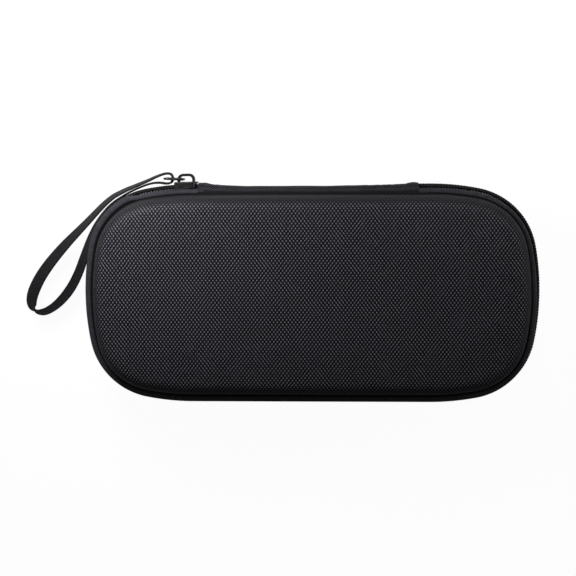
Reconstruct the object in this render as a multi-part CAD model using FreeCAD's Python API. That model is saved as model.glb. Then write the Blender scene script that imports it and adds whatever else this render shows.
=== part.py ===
import FreeCAD, Part
import os
from math import acos, asin, cos, degrees, pi, radians, sin, sqrt, tan

Vector = FreeCAD.Vector

# Hard carrying case for a handheld console: two moulded shells joined by a zip and a fabric spine.
# Lengths are in millimetres. The case lies on its rear shell, +Z is up out of the front face,
# X runs along the case and +Y points to the spine. The origin is under the middle of the case.

# Overall case, measured over the zip coil
case_length = 260.0
case_width = 125.5
case_depth = 45.0
corner_radius = 41.0
easing_angle = radians(11.0)
end_flat = 1.0

# Moulded shells
wall = 3.5
seam_inset = 5.6
seam_height = 8.0
draft = radians(8.0)
face_fillet = 8.0
dome_radius = 260.0
plateau_inset = 36.0
rim_round = 0.8

# Zip chain and tapes
chain_half_width = 3.9
chain_thickness = 2.6
coil_gap = 0.05
coil_round = 1.2
tape_thickness = 0.6
tape_flat = 5.1
tape_bend = 1.0

# Rim binding
binding_thickness = 0.6
binding_lap = 1.5
binding_height = 2.4

# Fabric spine
spine_left_setback = 3.85
spine_right_setback = 6.95
spine_thickness = 0.8
spine_shoulder = 4.0
spine_foot_height = 8.2
spine_foot_inset = 5.1
spine_bulge = 0.55
spine_neck = 0.8
spine_hollow = 2.2
spine_bend = 2.0
spine_end_zone = 4.0
spine_step = 4.0
spine_left_ramp = 18.0
spine_right_ramp = 42.0
chain_tuck = 3.5
lining_thickness = 0.8
lining_margin = 2.0

# Slider
slider_length = 13.3
slider_park = 3.3
plate_thickness = 1.15
plate_gap = 0.25
slider_tail_half = 5.0
slider_nose_half = 5.7
slider_corner = 0.9
flange_clearance = 0.25
flange_wall = 0.7
flange_depth = 2.1
tape_clearance = 0.4
lower_plate_margin = 0.6
wedge_half_width = 1.15
slider_shoulder = 1.4
slider_nose_cut = 2.2
wedge_start = 2.6
wedge_end = 5.9
wedge_clearance = 0.3
edge_round = 0.45
overcut = 1.0

# Slider bridge and puller ring
bridge_span = 10.0
bridge_rise = 4.65
bridge_thickness = 1.5
bridge_depth = 3.5
bridge_bend = 2.6
ring_wire = 1.3
ring_length = 10.4
ring_width = 11.4
ring_corner = 2.2
ring_pin_x = -1.65
ring_pin_rise = 2.8
ring_lift = radians(4.2)

# Wrist strap
strap_width = 9.0
strap_thickness = 1.2
floor_clearance = 0.3

# Pocket and holding straps inside
mesh_thickness = 0.8
mesh_level = 12.0
mesh_top = 25.0
hem_width = 9.0
hem_thickness = 1.6
fitting_gap = 0.1
hold_width = 25.0
hold_thickness = 1.0
hold_overlap = 22.0
hold_top_gap = 0.3
hold_step_start = 6.0
hold_step_end = 1.0
hold_step_bend = 2.0
patch_thickness = 0.8
patch_margin = 1.5
patch_corner = 1.5
seat_gap = 0.05

half_length = case_length / 2
half_width = case_width / 2
middle = case_depth / 2
corner_reach = half_width - end_flat / 2
easing_radius = (corner_reach - corner_radius * (cos(easing_angle) - sin(easing_angle))) / (
    sin(easing_angle) + 1 - cos(easing_angle)
)
tangent_x = half_length - corner_reach
spine_left = spine_left_setback - tangent_x
spine_right = tangent_x - spine_right_setback


# The coil line: straight sides and corners of three tangent arcs

def polar(angle, length=1.0):
    return Vector(length * cos(angle), length * sin(angle), 0)


class Run:
    """A straight stretch of the coil line, walked anticlockwise seen from above."""

    def __init__(self, start, end, outward):
        self.start = start
        self.end = end
        self.outward = outward

    def edge(self, inset):
        inward = polar(self.outward, -inset)
        return Part.LineSegment(self.start + inward, self.end + inward).toShape()

    def carry(self, face):
        return face.extrude(self.end - self.start)


class Bend:
    """An arc of the coil line about a centre, from one outward angle to the next."""

    def __init__(self, centre, radius, outward, sweep):
        self.centre = centre
        self.radius = radius
        self.outward = outward
        self.sweep = sweep
        self.start = centre + polar(outward, radius)

    def edge(self, inset):
        points = [
            self.centre + polar(self.outward + self.sweep * share, self.radius - inset)
            for share in (0.0, 0.5, 1.0)
        ]
        return Part.Arc(*points).toShape()

    def carry(self, face):
        return face.revolve(self.centre, Vector(0, 0, 1), degrees(self.sweep))


def corner(quarter):
    """Three arcs of the corner whose first outward angle is quarter times 90 degrees."""
    first = quarter * pi / 2
    along, across = (half_length, half_width) if quarter % 2 == 0 else (half_width, half_length)
    main_sweep = pi / 2 - 2 * easing_angle
    shift = easing_radius - corner_radius
    turn = FreeCAD.Rotation(Vector(0, 0, 1), degrees(first))
    entry = turn.multVec(Vector(along - easing_radius, across - corner_reach, 0))
    main = entry + polar(first + easing_angle, shift)
    leave = main - polar(first + easing_angle + main_sweep, shift)
    return [
        Bend(entry, easing_radius, first, easing_angle),
        Bend(main, corner_radius, first + easing_angle, main_sweep),
        Bend(leave, easing_radius, first + easing_angle + main_sweep, easing_angle),
    ]


def side(quarter):
    """The straight side that lies before a corner."""
    first = quarter * pi / 2
    along, across = (half_length, half_width) if quarter % 2 == 0 else (half_width, half_length)
    turn = FreeCAD.Rotation(Vector(0, 0, 1), degrees(first))
    reach = across - corner_reach
    return Run(turn.multVec(Vector(along, -reach, 0)), turn.multVec(Vector(along, reach, 0)), first)


def whole_line():
    stretches = []
    for quarter in range(4):
        stretches.append(side(quarter))
        stretches.extend(corner(quarter))
    return stretches


def zip_line():
    """The stretches that the zip follows, from under the spine's left end round to its right end."""
    outward = pi / 2
    left = Run(Vector(spine_left + chain_tuck, half_width, 0), Vector(-tangent_x, half_width, 0), outward)
    right = Run(Vector(tangent_x, half_width, 0), Vector(spine_right - chain_tuck, half_width, 0), outward)
    between = corner(1) + [side(2)] + corner(2) + [side(3)] + corner(3) + [side(0)] + corner(0)
    return [left] + between + [right]


def outline_face(inset, level):
    wire = Part.Wire([stretch.edge(inset) for stretch in whole_line()])
    wire.translate(Vector(0, 0, level))
    return Part.Face(wire)


def carried(section, stretches):
    """One solid of a section, drawn as x inward and y up from the middle plane, along stretches."""
    solids = []
    for stretch in stretches:
        inward = polar(stretch.outward, -1)
        up = Vector(0, 0, 1)
        ahead = inward.cross(up)
        frame = FreeCAD.Matrix(
            inward.x, up.x, ahead.x, stretch.start.x,
            inward.y, up.y, ahead.y, stretch.start.y,
            inward.z, up.z, ahead.z, middle,
            0, 0, 0, 1,
        )
        placed = section.copy()
        placed.transformShape(frame)
        solids.append(stretch.carry(placed))
    return fused(solids)


def fused(solids):
    if len(solids) == 1:
        return solids[0]
    return solids[0].multiFuse(solids[1:]).removeSplitter()


def mirrored(solid):
    return solid.mirror(Vector(0, 0, middle), Vector(0, 0, 1))


# Outlines of straight runs with rounded corners

def unit(vector):
    return vector * (1.0 / vector.Length)


def run_directions(points, closed):
    count = len(points) if closed else len(points) - 1
    return [unit(points[(i + 1) % len(points)] - points[i]) for i in range(count)]


def turn_at(before, after):
    return acos(max(-1.0, min(1.0, before.dot(after))))


def left_of(direction):
    return Vector(-direction.y, direction.x, 0)


def offset_corners(points, distance, closed):
    """Corners of the line that runs a distance to the left of the given one."""
    directions = run_directions(points, closed)
    moved = []
    for i, point in enumerate(points):
        before = directions[i - 1] if closed or i > 0 else directions[0]
        after = directions[i] if i < len(directions) else directions[-1]
        first, second = left_of(before), left_of(after)
        moved.append(point + (first + second) * (distance / (1 + first.dot(second))))
    return moved


def rounded_edges(points, radii, closed):
    """Straight runs joined by tangent arcs of the given radii, one for each point."""
    directions = run_directions(points, closed)
    edges = []
    pen = None
    first = None
    order = list(range(len(points))) if closed else list(range(1, len(points) - 1))
    if not closed:
        pen = points[0]
        first = pen
    for i in order:
        before, after = directions[i - 1], directions[i]
        turn = turn_at(before, after)
        if turn < 1e-6 or radii[i] < 1e-6:
            enter, leave = points[i], points[i]
        else:
            reach = radii[i] * tan(turn / 2)
            enter, leave = points[i] - before * reach, points[i] + after * reach
        if pen is not None and (enter - pen).Length > 1e-7:
            edges.append(Part.LineSegment(pen, enter).toShape())
        if first is None:
            first = enter
        if (leave - enter).Length > 1e-7:
            toward = unit(after - before)
            belly = points[i] + toward * (radii[i] / cos(turn / 2) - radii[i])
            edges.append(Part.Arc(enter, belly, leave).toShape())
        pen = leave
    last = first if closed else points[-1]
    if (last - pen).Length > 1e-7:
        edges.append(Part.LineSegment(pen, last).toShape())
    return edges


def side_radii(points, radii, distance, closed):
    """Radii of the parallel line on the left: smaller on the inside of a turn, larger outside."""
    directions = run_directions(points, closed)
    result = []
    for i in range(len(points)):
        if not closed and i in (0, len(points) - 1):
            result.append(0.0)
            continue
        before, after = directions[i - 1], directions[i]
        bends_left = before.cross(after).z > 0
        result.append(max(0.0, radii[i] - distance if bends_left else radii[i] + distance))
    return result


def band_face(points, radii, thickness):
    """A strip of constant thickness about a line with rounded corners."""
    half = thickness / 2
    left = rounded_edges(offset_corners(points, half, False), side_radii(points, radii, half, False), False)
    right = rounded_edges(offset_corners(points, -half, False), side_radii(points, radii, -half, False), False)
    begin = Part.LineSegment(right[0].firstVertex().Point, left[0].firstVertex().Point).toShape()
    end = Part.LineSegment(left[-1].lastVertex().Point, right[-1].lastVertex().Point).toShape()
    return Part.Face(Part.Wire(Part.__sortEdges__(left + [end] + right + [begin])))


def ring_face(points, radii, thickness):
    """A closed strip of constant thickness about a closed line with rounded corners."""
    wires = []
    for distance in (-thickness / 2, thickness / 2):
        corners = offset_corners(points, distance, True)
        wires.append(Part.Wire(rounded_edges(corners, side_radii(points, radii, distance, True), True)))
    wires.sort(key=lambda wire: -wire.BoundBox.DiagonalLength)
    return Part.Face(wires[0]).cut(Part.Face(wires[1])).Faces[0]


def plain_face(points, radii=None):
    corners = [Vector(x, y, 0) for x, y in points]
    return Part.Face(Part.Wire(rounded_edges(corners, radii or [0.0] * len(corners), True)))


# Moulded shell

def shell_section():
    """Half section of a shell: drafted wall, fillet and shallow dome, with a constant wall."""
    rise = Vector(sin(draft), cos(draft), 0)
    inward = Vector(cos(draft), -sin(draft), 0)
    foot = Vector(seam_inset, seam_height, 0)
    crown = Vector(plateau_inset, middle, 0)
    dome_centre = crown - Vector(0, dome_radius, 0)
    start = foot + inward * face_fillet - dome_centre
    along = start.dot(rise)
    reach = -along + sqrt(along * along - start.dot(start) + (dome_radius - face_fillet) ** 2)
    fillet_centre = foot + rise * reach + inward * face_fillet

    def surface(depth):
        fillet = face_fillet - depth
        dome = dome_radius - depth
        wall_end = fillet_centre - inward * fillet
        toward = unit(fillet_centre - dome_centre)
        dome_start = dome_centre + toward * dome
        belly = fillet_centre + unit(toward - inward) * fillet
        top = crown - Vector(0, depth, 0)
        dome_middle = dome_centre + unit(toward + Vector(0, 1, 0)) * dome
        bottom = foot + Vector(depth / cos(draft), 0, 0)
        return bottom, wall_end, belly, dome_start, dome_middle, top

    bottom, wall_end, belly, dome_start, dome_middle, top = surface(0.0)
    eased = bottom + rise * rim_round
    turned = bottom + Vector(rim_round, 0, 0)
    turn = turn_at(Vector(-1, 0, 0), rise)
    knee = bottom + unit(rise + Vector(1, 0, 0)) * (rim_round / sin(turn / 2) - rim_round / tan(turn / 2))
    inner = surface(wall)
    edges = [
        Part.Arc(turned, knee, eased).toShape(),
        Part.LineSegment(eased, wall_end).toShape(),
        Part.Arc(wall_end, belly, dome_start).toShape(),
        Part.Arc(dome_start, dome_middle, top).toShape(),
        Part.LineSegment(top, inner[5]).toShape(),
        Part.Arc(inner[5], inner[4], inner[3]).toShape(),
        Part.Arc(inner[3], inner[2], inner[1]).toShape(),
        Part.LineSegment(inner[1], inner[0]).toShape(),
        Part.LineSegment(inner[0], turned).toShape(),
    ]
    return Part.Face(Part.Wire(edges))


def front_shell():
    plateau = outline_face(plateau_inset, case_depth - wall).extrude(Vector(0, 0, wall))
    return fused([plateau, carried(shell_section(), whole_line())])


def inner_wall_inset(height):
    """How far the shell's inner wall stands in from the coil line at a height above the middle."""
    return seam_inset + wall / cos(draft) + (height - seam_height) * tan(draft)


# Zip

def front_tape():
    end = inner_wall_inset(seam_height)
    level = seam_height - tape_thickness / 2
    line = [
        Vector(chain_thickness + tape_thickness / 2, wedge_half_width + wedge_clearance, 0),
        Vector(chain_thickness + tape_thickness / 2, tape_flat, 0),
        Vector(seam_inset, level, 0),
        Vector(end, level, 0),
    ]
    return carried(band_face(line, [0, tape_bend, tape_bend / 2, 0], tape_thickness), zip_line())


def front_coil():
    section = plain_face(
        [
            (0, coil_gap),
            (chain_thickness, coil_gap),
            (chain_thickness, chain_half_width),
            (0, chain_half_width),
        ],
        [0, 0, 0, coil_round],
    )
    return carried(section, zip_line())


def front_binding():
    outer = inner_wall_inset(seam_height)
    under = seam_height - tape_thickness
    top = seam_height + binding_height
    section = plain_face(
        [
            (outer - binding_lap, under - binding_thickness),
            (outer + binding_thickness, under - binding_thickness),
            (inner_wall_inset(top) + binding_thickness, top),
            (inner_wall_inset(top), top),
            (outer, seam_height),
            (outer, under),
            (outer - binding_lap, under),
        ]
    )
    return carried(section, whole_line())


# Fabric spine

def spine_section(x, crest):
    line = [
        Vector(spine_foot_inset, -spine_foot_height, 0),
        Vector(crest, -spine_shoulder, 0),
        Vector(crest, spine_shoulder, 0),
        Vector(spine_foot_inset, spine_foot_height, 0),
    ]
    wire = band_face(line, [0, spine_bend, spine_bend, 0], spine_thickness).OuterWire
    turned = FreeCAD.Matrix(
        0, 0, 1, x,
        -1, 0, 0, half_width,
        0, 1, 0, middle,
        0, 0, 0, 1,
    )
    placed = wire.copy()
    placed.transformShape(turned)
    return placed


def spine_cover():
    """The spine stands over the chain's ends, steps down behind them and draws in to the hollow."""
    left_zone = spine_left + spine_end_zone
    left_neck = left_zone + spine_step
    right_zone = spine_right - spine_end_zone
    right_neck = right_zone - spine_step
    stations = [
        (spine_left, -spine_bulge),
        (left_zone, -spine_bulge),
        (left_neck, spine_neck),
        (left_neck + spine_left_ramp, spine_hollow),
        (right_neck - spine_right_ramp, spine_hollow),
        (right_neck, spine_neck),
        (right_zone, -spine_bulge),
        (spine_right, -spine_bulge),
    ]
    return Part.makeLoft([spine_section(x, crest) for x, crest in stations], True, True)


def spine_lining():
    half = seam_height - tape_thickness - binding_thickness
    outer = inner_wall_inset(seam_height) - binding_lap
    length = spine_right - spine_left - 2 * lining_margin
    corner_at = Vector(spine_left + lining_margin, half_width - outer - lining_thickness, middle - half)
    return Part.makeBox(length, lining_thickness, 2 * half, corner_at)


# Slider, built with x along the zip, y outward from the coil line and z up, then parked on the arc

plate_top = plate_gap + plate_thickness
lower_plate_top = -(chain_thickness + tape_thickness + tape_clearance)


def plan_solid(points, radii, low, high):
    """A plate with the given plan in x and z, between two heights along y."""
    face = plain_face(points, radii)
    face.rotate(Vector(0, 0, 0), Vector(1, 0, 0), 90)
    face.translate(Vector(0, low, 0))
    return face.extrude(Vector(0, high - low, 0))


def slider_plan(margin):
    end = slider_length / 2
    tail, nose = slider_tail_half - margin, slider_nose_half - margin
    shoulder = wedge_start + slider_shoulder
    upper = [
        (-end, tail - slider_corner),
        (-end + slider_corner, tail),
        (shoulder, nose),
        (end, nose - slider_nose_cut),
    ]
    lower = [(x, -z) for x, z in reversed(upper)]
    return lower + upper


def wedge_plan(grow):
    centre_x = (wedge_start + wedge_end) / 2
    return [
        (wedge_start - grow, 0.0),
        (centre_x, -wedge_half_width - grow),
        (wedge_end + grow, 0.0),
        (centre_x, wedge_half_width + grow),
    ]


def slider_body():
    end = slider_length / 2
    narrow = chain_half_width + flange_clearance
    wide = slider_nose_half - flange_wall
    rounds = [slider_corner] * 8
    upper = plan_solid(slider_plan(0.0), rounds, -flange_depth, plate_top)
    rim = [edge for edge in upper.Edges if abs(edge.BoundBox.YMin - plate_top) < 1e-6]
    upper = upper.makeFillet(edge_round, rim)
    channel = plan_solid(
        [
            (-end - overcut, -narrow),
            (0, -narrow),
            (end + overcut, -wide),
            (end + overcut, wide),
            (0, narrow),
            (-end - overcut, narrow),
        ],
        None,
        -flange_depth - overcut,
        plate_gap,
    )
    lower = plan_solid(
        slider_plan(lower_plate_margin), rounds, lower_plate_top - plate_thickness, lower_plate_top
    )
    wedge = plan_solid(wedge_plan(0.0), None, lower_plate_top, plate_gap)
    return fused([upper.cut(channel), lower, wedge])


def slider_bridge():
    foot = (bridge_span - bridge_thickness) / 2
    crown = plate_top + bridge_rise - bridge_thickness / 2
    line = [
        Vector(-foot, plate_top, 0),
        Vector(-foot, crown, 0),
        Vector(foot, crown, 0),
        Vector(foot, plate_top, 0),
    ]
    face = band_face(line, [0, bridge_bend, bridge_bend, 0], bridge_thickness)
    face.translate(Vector(0, 0, -bridge_depth / 2))
    return face.extrude(Vector(0, 0, bridge_depth))


def wire_along(edges, radius):
    """A round wire along lines and arcs."""
    pieces = []
    for edge in edges:
        start, end = edge.valueAt(edge.FirstParameter), edge.valueAt(edge.LastParameter)
        section = Part.Face(Part.Wire(Part.makeCircle(radius, start, edge.tangentAt(edge.FirstParameter))))
        if isinstance(edge.Curve, Part.Circle):
            sweep = degrees(edge.LastParameter - edge.FirstParameter)
            pieces.append(section.revolve(edge.Curve.Center, edge.Curve.Axis, sweep))
        else:
            pieces.append(section.extrude(end - start))
    return fused(pieces)


def puller_ring():
    half = ring_width / 2
    far = -ring_length
    loop = [Vector(0, -half, 0), Vector(0, half, 0), Vector(far, half, 0), Vector(far, -half, 0)]
    solid = wire_along(rounded_edges(loop, [ring_corner] * 4, True), ring_wire / 2)
    solid.rotate(Vector(0, 0, 0), Vector(1, 0, 0), 90)
    solid.rotate(Vector(0, 0, 0), Vector(0, 0, 1), -degrees(ring_lift))
    solid.translate(Vector(ring_pin_x, ring_pin_rise, 0))
    return solid


def on_track(solid):
    """Moves a solid from the slider's own axes to its parked place on the easing arc."""
    centre = Vector(-tangent_x, half_width - easing_radius, 0)
    placed = solid.copy()
    placed.translate(Vector(-tangent_x, half_width, middle))
    placed.rotate(centre, Vector(0, 0, 1), degrees(slider_park / easing_radius))
    return placed


def opened_chain():
    """The space that the wedge and the parted chain beyond it need."""
    centre_x = (wedge_start + wedge_end) / 2
    half = wedge_half_width + wedge_clearance
    past_end = centre_x + spine_left_setback + slider_length + chain_tuck
    plan = [
        (wedge_start - wedge_clearance, 0.0),
        (centre_x, -half),
        (past_end, -half),
        (past_end, half),
        (centre_x, half),
    ]
    return on_track(plan_solid(plan, None, lower_plate_top - plate_thickness, plate_top))


# Wrist strap: one closed length of webbing on edge, sloping from the ring down to the table

bend_share = 0.45

strap_route = [
    (-79.0, 68.9), (-82.6, 69.9), (-88.2, 68.1), (-93.2, 65.5), (-100.4, 62.5), (-108.6, 59.4),
    (-118.6, 54.0), (-132.4, 39.1), (-146.8, 24.8), (-158.2, 10.8), (-164.2, -0.4), (-165.6, -7.2),
    (-163.8, -12.2), (-159.3, -13.6), (-154.2, -11.2), (-148.0, -6.0), (-141.6, 1.8), (-136.6, 11.2),
    (-132.9, 20.8), (-129.6, 30.8), (-124.8, 41.2), (-117.1, 50.8), (-107.1, 57.1), (-99.6, 60.6),
    (-92.3, 63.4), (-86.8, 63.7), (-82.0, 62.9), (-79.0, 64.0),
]


def bend_radii(points):
    """Each arc is as large as its two runs allow."""
    count = len(points)
    directions = run_directions(points, True)
    radii = []
    for i, point in enumerate(points):
        shorter = min((point - points[i - 1]).Length, (points[(i + 1) % count] - point).Length)
        radii.append(bend_share * shorter / tan(turn_at(directions[i - 1], directions[i]) / 2))
    return radii


def wrist_strap():
    points = [Vector(x, y, 0) for x, y in strap_route]
    radii = bend_radii(points)
    print("strap radii", [round(radius, 1) for radius in radii])
    face = ring_face(points, radii, strap_thickness)
    face.translate(Vector(0, 0, middle - strap_width / 2))
    strap = face.extrude(Vector(0, 0, strap_width))
    eye = (points[0] + points[-1]) * 0.5
    far = max(points, key=lambda point: (point - eye).Length)
    down = unit(far - eye)
    reach = (far - eye).Length
    slope = asin((middle - strap_width / 2 - floor_clearance) / reach)
    strap.rotate(Vector(eye.x, eye.y, middle), Vector(-down.y, down.x, 0), degrees(slope))
    length = sum(edge.Length for edge in rounded_edges(points, radii, True))
    print("strap length", round(length, 1), "slope", round(degrees(slope), 2))
    print("strap volume", round(strap.Volume, 1), "from section", round(length * strap_width * strap_thickness, 1))
    print("strap lowest", round(strap.BoundBox.ZMin, 3))
    return strap


# Inside: mesh pocket in the lid, holding straps in the tray

def mesh_pocket():
    level = middle + mesh_level
    inset = inner_wall_inset(mesh_level + mesh_thickness) + fitting_gap
    panel = outline_face(inset, level).extrude(Vector(0, 0, mesh_thickness))
    keep = Part.makeBox(case_length, half_width + mesh_top, case_depth, Vector(-half_length, -half_width, 0))
    return panel.common(keep)


def mesh_pocket_hem():
    level = middle + mesh_level + (mesh_thickness - hem_thickness) / 2
    inset = inner_wall_inset(mesh_level + hem_thickness) + fitting_gap
    band = outline_face(inset, level).extrude(Vector(0, 0, hem_thickness))
    keep = Part.makeBox(case_length, hem_width, case_depth, Vector(-half_length, mesh_top, 0))
    return band.common(keep)


def hold_line(lift):
    """Line of a holding strap, as y and z: down the inner wall, over the floor and past the middle."""
    offset = wall + seat_gap + hold_thickness / 2
    top = seam_height + binding_height + hold_top_gap
    foot = middle - offset
    wall_y = half_width - inner_wall_inset(top) - seat_gap - hold_thickness / 2
    foot_y = half_width - inner_wall_inset(foot) - seat_gap - hold_thickness / 2
    edge_rise = (half_width - foot_y - plateau_inset) ** 2 / (2 * dome_radius)
    line = [
        Vector(wall_y, middle - top, 0),
        Vector(foot_y, offset + edge_rise, 0),
        Vector(hold_overlap / 2 + hold_step_start, offset, 0),
    ]
    if lift > 0:
        line.append(Vector(hold_overlap / 2 + hold_step_end, offset + lift, 0))
    line.append(Vector(-hold_overlap / 2, offset + lift, 0))
    return line


def holding_strap(lift, side_sign):
    """A holding strap sewn to the wall on one side, as wide as hold_width along the case."""
    line = hold_line(lift)
    radii = [0.0, face_fillet - wall - seat_gap] + [hold_step_bend] * (len(line) - 3) + [0.0]
    face = band_face(line, radii, hold_thickness)
    face.translate(Vector(0, 0, -hold_width / 2))
    solid = face.extrude(Vector(0, 0, hold_width))
    solid.transformShape(FreeCAD.Matrix(0, 0, side_sign, 0, side_sign, 0, 0, 0, 0, 1, 0, 0, 0, 0, 0, 1))
    return solid


def patch(order):
    low = wall + seat_gap + hold_thickness + order * patch_thickness
    x = hold_width / 2 - patch_margin
    y = hold_overlap / 2 - patch_margin
    face = plain_face([(-x, -y), (x, -y), (x, y), (-x, y)], [patch_corner] * 4)
    face.translate(Vector(0, 0, low))
    return face.extrude(Vector(0, 0, patch_thickness))


# The parts

front_coil_solid = front_coil()
front_tape_solid = front_tape()
parting = opened_chain()
front_shell_solid = front_shell()
front_binding_solid = front_binding()

nodes = {
    "front_shell": front_shell_solid,
    "rear_shell": mirrored(front_shell_solid),
    "front_zip_tape": front_tape_solid,
    "rear_zip_tape": mirrored(front_tape_solid),
    "front_zip_coil": front_coil_solid.cut(parting),
    "rear_zip_coil": mirrored(front_coil_solid).cut(parting),
    "front_rim_binding": front_binding_solid,
    "rear_rim_binding": mirrored(front_binding_solid),
    "spine_cover": spine_cover(),
    "spine_lining": spine_lining(),
    "slider_body": on_track(slider_body()),
    "slider_bridge": on_track(slider_bridge()),
    "puller_ring": on_track(puller_ring()),
    "wrist_strap": wrist_strap(),
    "mesh_pocket": mesh_pocket(),
    "mesh_pocket_hem": mesh_pocket_hem(),
    "upper_holding_strap": holding_strap(2 * patch_thickness + hold_thickness, 1),
    "lower_holding_strap": holding_strap(0.0, -1),
    "loop_patch": patch(0),
    "hook_patch": patch(1),
}

os.makedirs("parts", exist_ok=True)
for name, shape in nodes.items():
    solids = shape.Solids
    print(name, "solids", len(solids), "valid", shape.isValid(), "volume", round(shape.Volume, 1))
    (solids[0] if len(solids) == 1 else shape).exportStep(f"parts/{name}.step")
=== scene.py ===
# %% [markdown]
# A zipped carrying case for a handheld console
#
# The case is two moulded shells with a thick woven cover, joined by a zip that runs round three
# sides and by a cloth spine on the fourth. A flat wrist strap hangs from the zip's puller. The
# solid model gives every place and size. This script dresses it: each cell makes one piece or
# one finish, and says first what the real thing is.

# %% Load the frame
import math

import bmesh
import bpy
import numpy as np
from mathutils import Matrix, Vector


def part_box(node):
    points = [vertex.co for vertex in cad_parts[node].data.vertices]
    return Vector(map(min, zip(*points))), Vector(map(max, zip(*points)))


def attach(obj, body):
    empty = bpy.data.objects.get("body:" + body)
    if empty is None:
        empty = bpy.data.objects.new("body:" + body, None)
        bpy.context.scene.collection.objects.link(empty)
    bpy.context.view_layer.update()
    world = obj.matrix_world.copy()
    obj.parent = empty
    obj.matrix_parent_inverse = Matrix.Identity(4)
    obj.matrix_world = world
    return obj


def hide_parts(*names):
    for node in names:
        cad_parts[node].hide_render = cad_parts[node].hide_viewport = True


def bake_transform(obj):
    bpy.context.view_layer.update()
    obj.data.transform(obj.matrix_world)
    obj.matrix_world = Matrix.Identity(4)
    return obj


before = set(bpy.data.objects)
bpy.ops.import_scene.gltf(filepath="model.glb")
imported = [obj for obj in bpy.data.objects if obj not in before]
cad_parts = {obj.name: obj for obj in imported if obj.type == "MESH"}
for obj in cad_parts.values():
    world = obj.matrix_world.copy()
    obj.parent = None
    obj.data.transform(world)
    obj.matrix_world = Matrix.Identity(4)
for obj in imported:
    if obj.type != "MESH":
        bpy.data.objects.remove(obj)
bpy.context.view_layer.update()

MM = 0.001

# %% [markdown]
# Sizes
#
# Lengths are in metres, and MM turns a size as it reads on a rule into metres. The outline of the
# case is read from the solid model, so the cloth always fits the shell that it covers. Insets are
# measured inward from the outer face of the zip, and heights from the plane where the zip closes.

# %% Sizes of the case
chain_low, chain_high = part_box("front_zip_coil")
half_length = chain_high.x
half_width = -chain_low.y
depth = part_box("front_shell")[1].z
middle = depth / 2

corner_radius = 41.0 * MM
easing_angle = math.radians(11.0)
end_flat = 1.0 * MM
corner_reach = half_width - end_flat / 2
# A corner reaches along each side by the sum, over its three arcs, of the radius times the growth
# of the angle's sine. That sum has to be corner_reach, which gives the radius of the easing arcs.
tight_share = math.cos(easing_angle) - math.sin(easing_angle)
easing_radius = (corner_reach - corner_radius * tight_share) / (1 - tight_share)
tangent_x = half_length - corner_reach

# A shell: its thickness, where its outer face meets the seam, the lean of its wall, the rounding
# above the wall, the radius of its bulge, and how far in from the rim its flat middle begins.
wall = 3.5 * MM
seam_inset = 5.6 * MM
seam_height = 8.0 * MM
draft = math.radians(8.0)
face_fillet = 8.0 * MM
dome_radius = 260.0 * MM
plateau_inset = 36.0 * MM

# The zip's ends run in under the spine by chain_tuck.
spine_low, spine_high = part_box("spine_cover")
chain_tuck = 3.5 * MM
print("case", [round(size / MM, 1) for size in (2 * half_length, 2 * half_width, depth)], "mm")

# %% [markdown]
# The line of the zip
#
# Everything round the rim follows one closed line: four straight sides, and corners that start
# gently, turn tightly and end gently. Such a corner is three arcs that touch. The class below
# works out, for a whole array of distances along the line, where each point lies and which way
# is outward there. One array in, one array out: no point is visited by a Python loop.

# %% The line of the zip
class RimLine:
    """A chain of straight runs and arcs, walked anticlockwise from the middle of the right end.

    Each stretch has a length and a curvature. Along an arc of radius r the outward angle grows by
    distance / r, and a point is centre + r * (cos angle, sin angle). Along a straight run the
    angle stays, and a point is start + distance * (-sin angle, cos angle). Each side is one
    straight run and the three arcs of the corner after it.
    """

    stretches_per_side = 4

    def __init__(self):
        bend = math.pi / 2 - 2 * easing_angle
        ease = (easing_radius * easing_angle, 1 / easing_radius)
        tight = (corner_radius * bend, 1 / corner_radius)
        stretches = []
        for straight in (end_flat, 2 * tangent_x, end_flat, 2 * tangent_x):
            stretches += [(straight, 0.0), ease, tight, ease]
        self.lengths = np.array([length for length, _ in stretches])
        self.curves = np.array([curve for _, curve in stretches])
        self.starts = np.concatenate([[0.0], np.cumsum(self.lengths)])
        self.total = self.starts[-1]
        self.angles = np.concatenate([[0.0], np.cumsum(self.lengths * self.curves)[:-1]])
        self.origins = np.zeros((len(stretches), 2))
        self.origins[0] = (half_length, -end_flat / 2)
        for i in range(len(stretches) - 1):
            self.origins[i + 1] = self._place(np.array([i]), self.lengths[i : i + 1])[0][0]

    def _place(self, which, along):
        """Points and outward directions at these distances along the stretches numbered which."""
        start, curve = self.angles[which], self.curves[which]
        angle = start + along * curve
        radius = 1 / np.where(curve > 0, curve, 1.0)
        here = np.stack([np.cos(angle), np.sin(angle)], -1)
        there = np.stack([np.cos(start), np.sin(start)], -1)
        ahead = np.stack([-np.sin(start), np.cos(start)], -1)
        turned = self.origins[which] + radius[:, None] * (here - there)
        walked = self.origins[which] + along[:, None] * ahead
        return np.where(curve[:, None] > 0, turned, walked), here

    def at(self, distances):
        """Points of the line and outward directions at these distances."""
        wrapped = np.mod(distances, self.total)
        which = np.searchsorted(self.starts, wrapped, side="right") - 1
        which = np.clip(which, 0, len(self.curves) - 1)
        return self._place(which, wrapped - self.starts[which])

    def samples(self, step):
        """Distances with every join of two stretches among them, so that both halves mirror."""
        counts = np.ceil(self.lengths / step).astype(int)
        stretches = zip(self.starts, self.lengths, counts)
        return np.concatenate([start + length * np.arange(n) / n for start, length, n in stretches])

    def on_top_side(self, x):
        """Distance of the point with this x on the second straight run, under the spine."""
        return self.starts[self.stretches_per_side] + tangent_x - x


rim = RimLine()
zip_start = rim.on_top_side(spine_low.x + chain_tuck)
zip_end = rim.total + rim.on_top_side(spine_high.x - chain_tuck)
print("rim", round(rim.total / MM, 1), "mm round, zip", round((zip_end - zip_start) / MM, 1), "mm long")

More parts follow.
